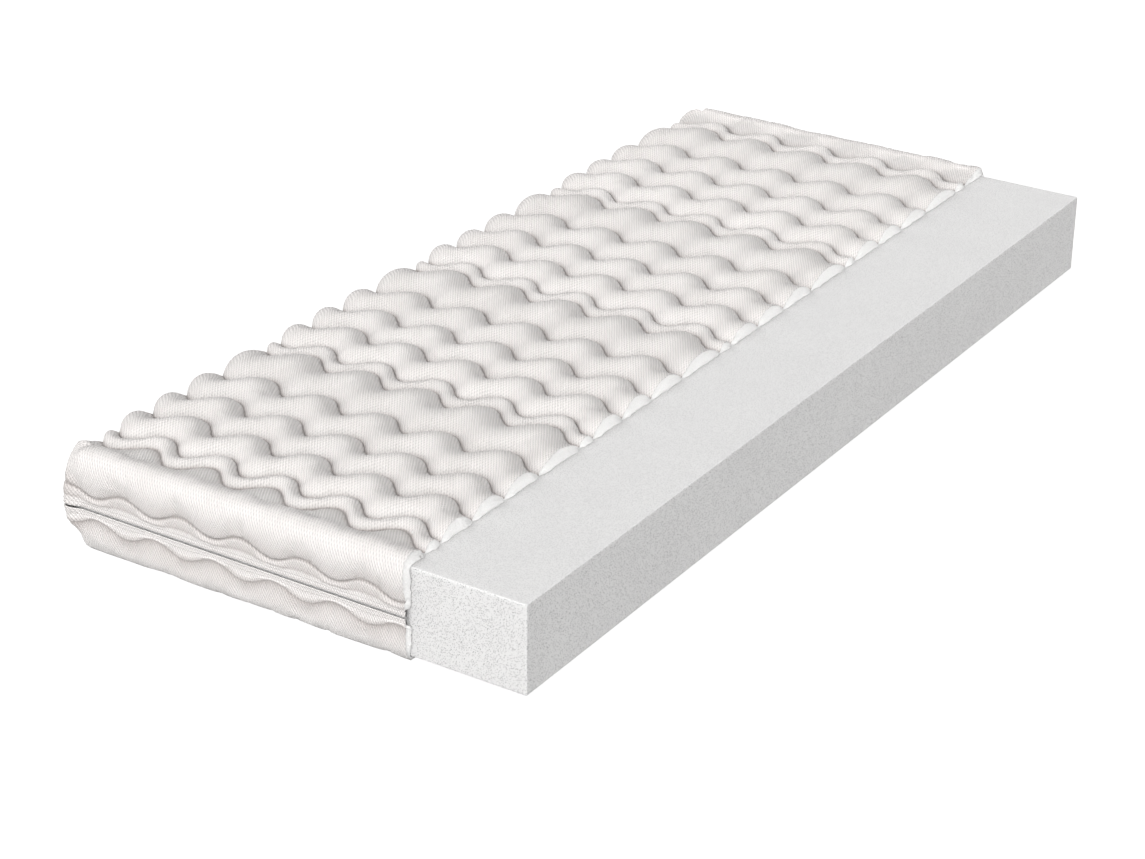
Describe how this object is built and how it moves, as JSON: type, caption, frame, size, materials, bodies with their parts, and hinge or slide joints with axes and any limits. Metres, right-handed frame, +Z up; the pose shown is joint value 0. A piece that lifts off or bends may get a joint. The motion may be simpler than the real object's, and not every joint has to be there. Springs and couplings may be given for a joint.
{
  "type": "pressure relief mattress",
  "caption": "Foam pressure relief mattress in a removable wave-quilted zip cover, its cover cut back along one side to show the foam core.",
  "frame": {"origin": "on the floor, under the middle of the mattress", "axes": "+X across the mattress towards the bare foam side, +Y along it towards the head end, +Z up"},
  "size_m": [0.89, 2, 0.183],
  "materials": {
    "foam": "open-cell polyurethane foam, cool light grey, matt",
    "knit": "white ribbed knit, soft matt with a slight sheen",
    "wadding": "loose white polyester wadding",
    "backing": "thin nonwoven backing, matt",
    "thread": "white polyester sewing thread",
    "zip_tape": "woven polyester zip tape",
    "zip_coil": "moulded nylon coil",
    "zip_metal": "nickel-plated zinc die casting"
  },
  "bodies": {
    "lower_cover": {"lower_face_fabric": "knit", "lower_wadding": "wadding", "lower_backing": "backing", "lower_quilt_threads": "thread", "lower_end_threads": "thread", "lower_corner_seams": "thread", "lower_zip_tape": "zip_tape", "lower_zip_coil": "zip_coil", "lower_zip_stitching": "thread", "lower_zip_stops": "zip_metal"},
    "core": {"foam_core": "foam"},
    "upper_cover": {"upper_face_fabric": "knit", "upper_wadding": "wadding", "upper_backing": "backing", "upper_quilt_threads": "thread", "upper_end_threads": "thread", "upper_corner_seams": "thread", "upper_zip_tape": "zip_tape", "upper_zip_coil": "zip_coil", "upper_zip_stitching": "thread", "upper_zip_stops": "zip_metal"},
    "zip_slider": {"zip_slider_body": "zip_metal"},
    "zip_pull": {"zip_pull": "zip_metal"}
  },
  "joints": [
    {"name": "core_lift", "type": "slide", "parent": "lower_cover", "child": "core", "axis": [0, 0, 1], "range_m": [0, 0.3]},
    {"name": "cover_lift", "type": "slide", "parent": "core", "child": "upper_cover", "axis": [0, 0, 1], "range_m": [0, 0.25]},
    {"name": "slider_travel", "type": "slide", "parent": "upper_cover", "child": "zip_slider", "axis": [0, -1, 0], "range_m": [0, 1.74]},
    {"name": "pull_flip", "type": "hinge", "parent": "zip_slider", "child": "zip_pull", "pos_m": [-0.44305, 0.88, 0.08], "axis": [0, 0, 1], "range_deg": [0, 180]}
  ]
}
